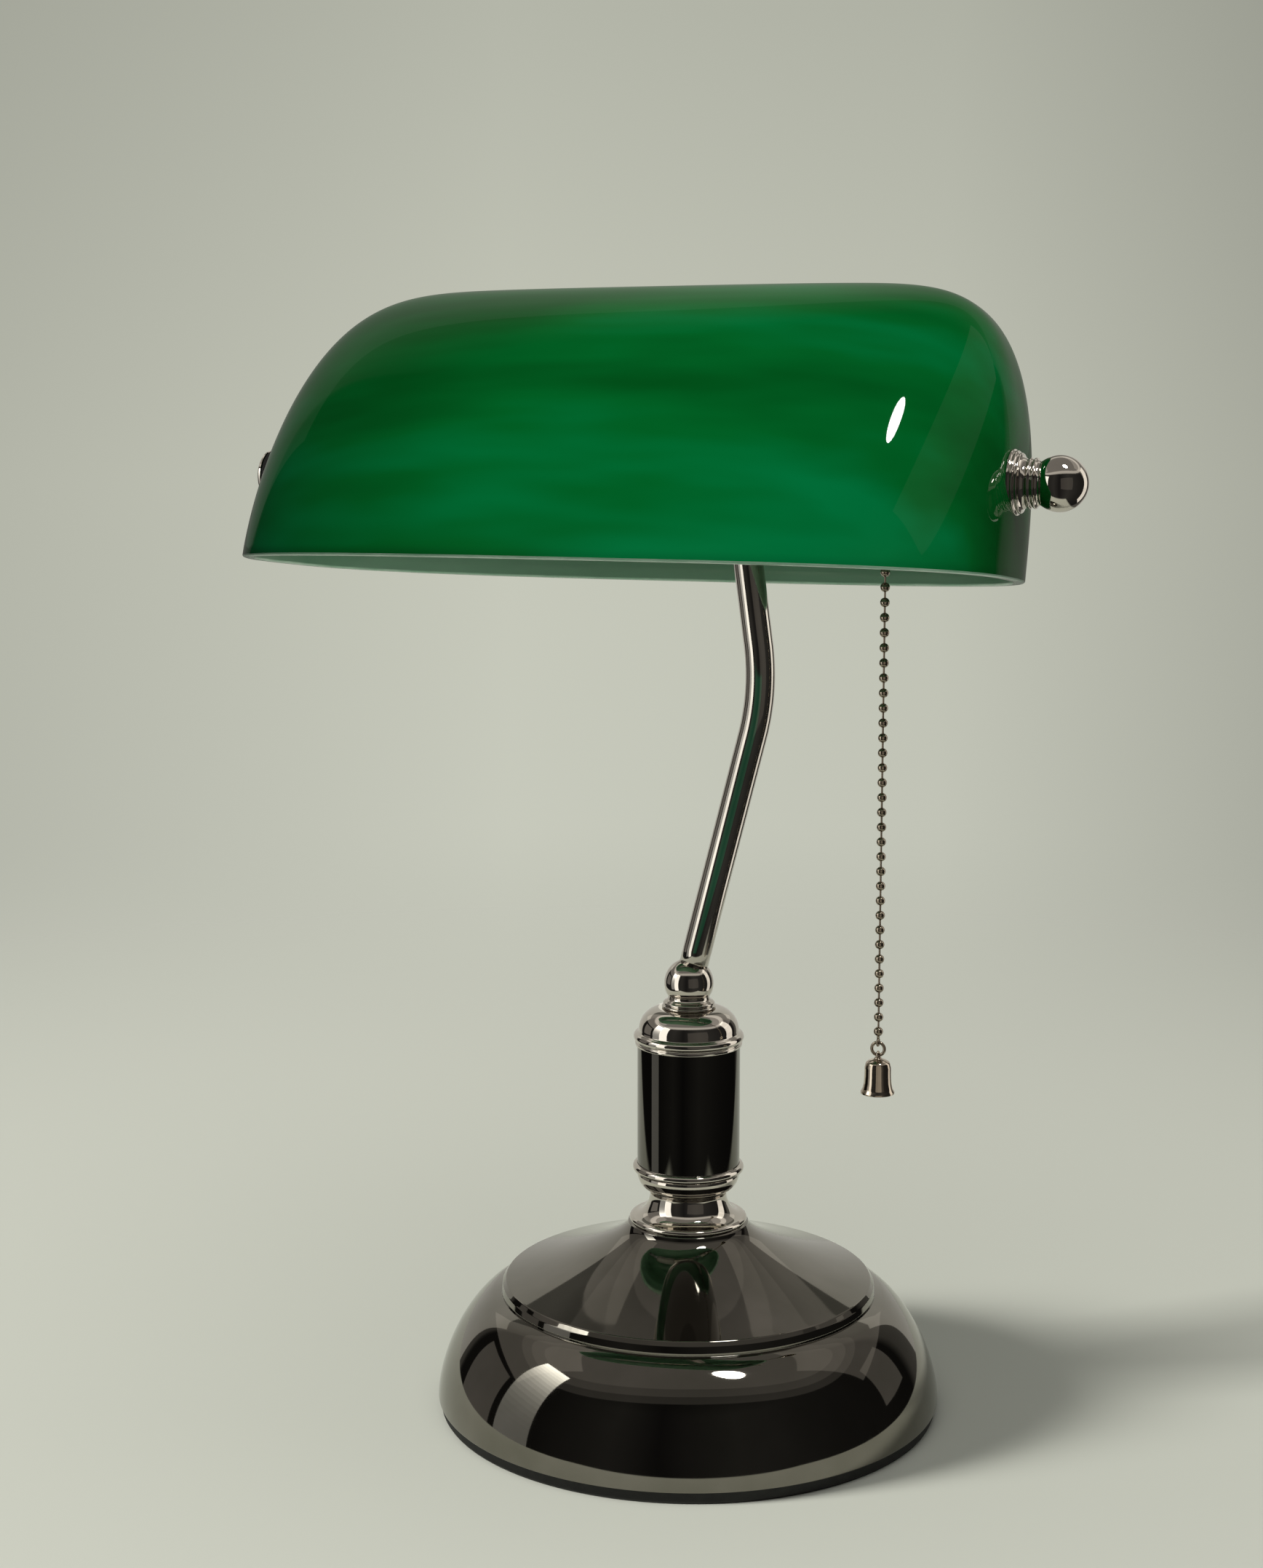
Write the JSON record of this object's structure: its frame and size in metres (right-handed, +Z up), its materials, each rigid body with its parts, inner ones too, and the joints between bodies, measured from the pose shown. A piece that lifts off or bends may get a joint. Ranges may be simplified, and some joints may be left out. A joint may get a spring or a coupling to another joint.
{
  "type": "banker desk lamp",
  "caption": "Banker desk lamp: weighted round base, short column, bent stem and a tilting green glass shade with a bead pull chain.",
  "frame": {"origin": "centre of the base's underside, on the column's axis at table level", "axes": "+Z up the column, +X along the shade towards the pull chain's end, -Y towards the front"},
  "size_m": [0.296, 0.1762, 0.39],
  "materials": {
    "base_nickel": "black nickel plated steel, mirror polished",
    "fitting_nickel": "polished nickel plated brass",
    "stem_nickel": "polished nickel plated steel tube",
    "tube_nickel": "black nickel plated steel tube, mirror polished",
    "green_glass": "gloss cased emerald glass, pale inside",
    "black_rubber": "matt moulded rubber",
    "black_nylon": "satin moulded nylon",
    "natural_nylon": "natural moulded nylon",
    "zinc_steel": "zinc plated steel",
    "cast_iron": "rough casting, painted",
    "raw_brass": "plain brass",
    "fibre_board": "brown insulating fibre",
    "phenolic": "dark phenolic moulding",
    "frosted_bulb": "thin frosted glass",
    "bulb_aluminium": "rolled aluminium",
    "filament_sticks": "yellow phosphor sticks on a glass stem",
    "chain_nickel": "dark warm nickel",
    "bell_nickel": "warm polished nickel",
    "cable_sheath": "smooth PVC",
    "spring_steel": "drawn spring wire"
  },
  "bodies": {
    "base": {"rubber_foot": "black_rubber", "bottom_plate": "zinc_steel", "base_weight": "cast_iron", "base_shell": "base_nickel", "cord_gland": "black_nylon", "lock_nut": "zinc_steel", "lock_washer": "zinc_steel", "tie_rod": "zinc_steel", "pedestal": "fitting_nickel", "tube_cup": "fitting_nickel", "column_tube": "tube_nickel", "column_cap": "fitting_nickel", "neck_ring": "fitting_nickel", "wiring_lower": "cable_sheath"},
    "stem": {"swivel_ball": "fitting_nickel", "ball_grub_screw": "zinc_steel", "stem_tube": "stem_nickel", "hub": "fitting_nickel", "hub_set_screw": "zinc_steel", "yoke": "zinc_steel", "yoke_screw": "zinc_steel", "shade_studs": "zinc_steel", "socket_nipple": "raw_brass", "socket_cap": "fitting_nickel", "socket_shell": "fitting_nickel", "socket_liner": "fibre_board", "socket_block": "phenolic", "screw_shell": "raw_brass", "centre_contact": "raw_brass", "bulb_glass": "frosted_bulb", "bulb_base": "bulb_aluminium", "bulb_filaments": "filament_sticks", "switch_nipple": "zinc_steel", "switch_housing": "fitting_nickel", "switch_cover": "fitting_nickel", "switch_contacts": "raw_brass", "chain_guide": "fitting_nickel", "return_spring": "spring_steel", "wiring_upper": "cable_sheath"},
    "shade": {"glass_shade": "green_glass", "shade_bushes": "natural_nylon", "inner_washers": "black_rubber", "outer_washers": "black_rubber"},
    "end_nut_body": {"end_nut": "fitting_nickel"},
    "knob_right_body": {"knob_right": "fitting_nickel"},
    "plunger": {"pull_plunger": "zinc_steel"},
    "coupling": {"chain_coupling": "chain_nickel"},
    "chain": {"bead_chain": "chain_nickel"},
    "ring": {"end_ring": "chain_nickel"},
    "bell_body": {"bell": "bell_nickel"}
  },
  "joints": [
    {"name": "stem_swivel", "type": "hinge", "parent": "base", "child": "stem", "pos_m": [0, 0, 0.1516], "axis": [0, 0, 1], "range_deg": [-90, 90]},
    {"name": "shade_tilt", "type": "hinge", "parent": "stem", "child": "shade", "pos_m": [0, 0, 0.3237], "axis": [1, 0, 0], "range_deg": [-25, 30]},
    {"name": "end_nut_turn", "type": "hinge", "parent": "stem", "child": "end_nut_body", "pos_m": [-0.1608, 0, 0.3237], "axis": [1, 0, 0], "range_deg": [0, 360]},
    {"name": "knob_right_turn", "type": "hinge", "parent": "stem", "child": "knob_right_body", "pos_m": [0.11, 0, 0.3237], "axis": [1, 0, 0], "range_deg": [-360, 0]},
    {"name": "chain_pull", "type": "slide", "parent": "stem", "child": "plunger", "axis": [0, 0, -1], "range_m": [0, 0.008], "stiffness_N_per_m": 500, "deforming": ["return_spring"]},
    {"name": "chain_swing_fore_aft", "type": "hinge", "parent": "plunger", "child": "coupling", "pos_m": [0.068, 0, 0.3044], "axis": [1, 0, 0], "range_deg": [-30, 30]},
    {"name": "chain_swing_sideways", "type": "hinge", "parent": "coupling", "child": "chain", "pos_m": [0.068, 0, 0.3044], "axis": [0, 1, 0], "range_deg": [-25, 12]},
    {"name": "ring_swing", "type": "hinge", "parent": "chain", "child": "ring", "pos_m": [0.068, 0, 0.13616], "axis": [1, 0, 0], "range_deg": [-30, 30]},
    {"name": "bell_swing", "type": "hinge", "parent": "ring", "child": "bell_body", "pos_m": [0.068, 0, 0.13176], "axis": [1, 0, 0], "range_deg": [-30, 30]}
  ]
}
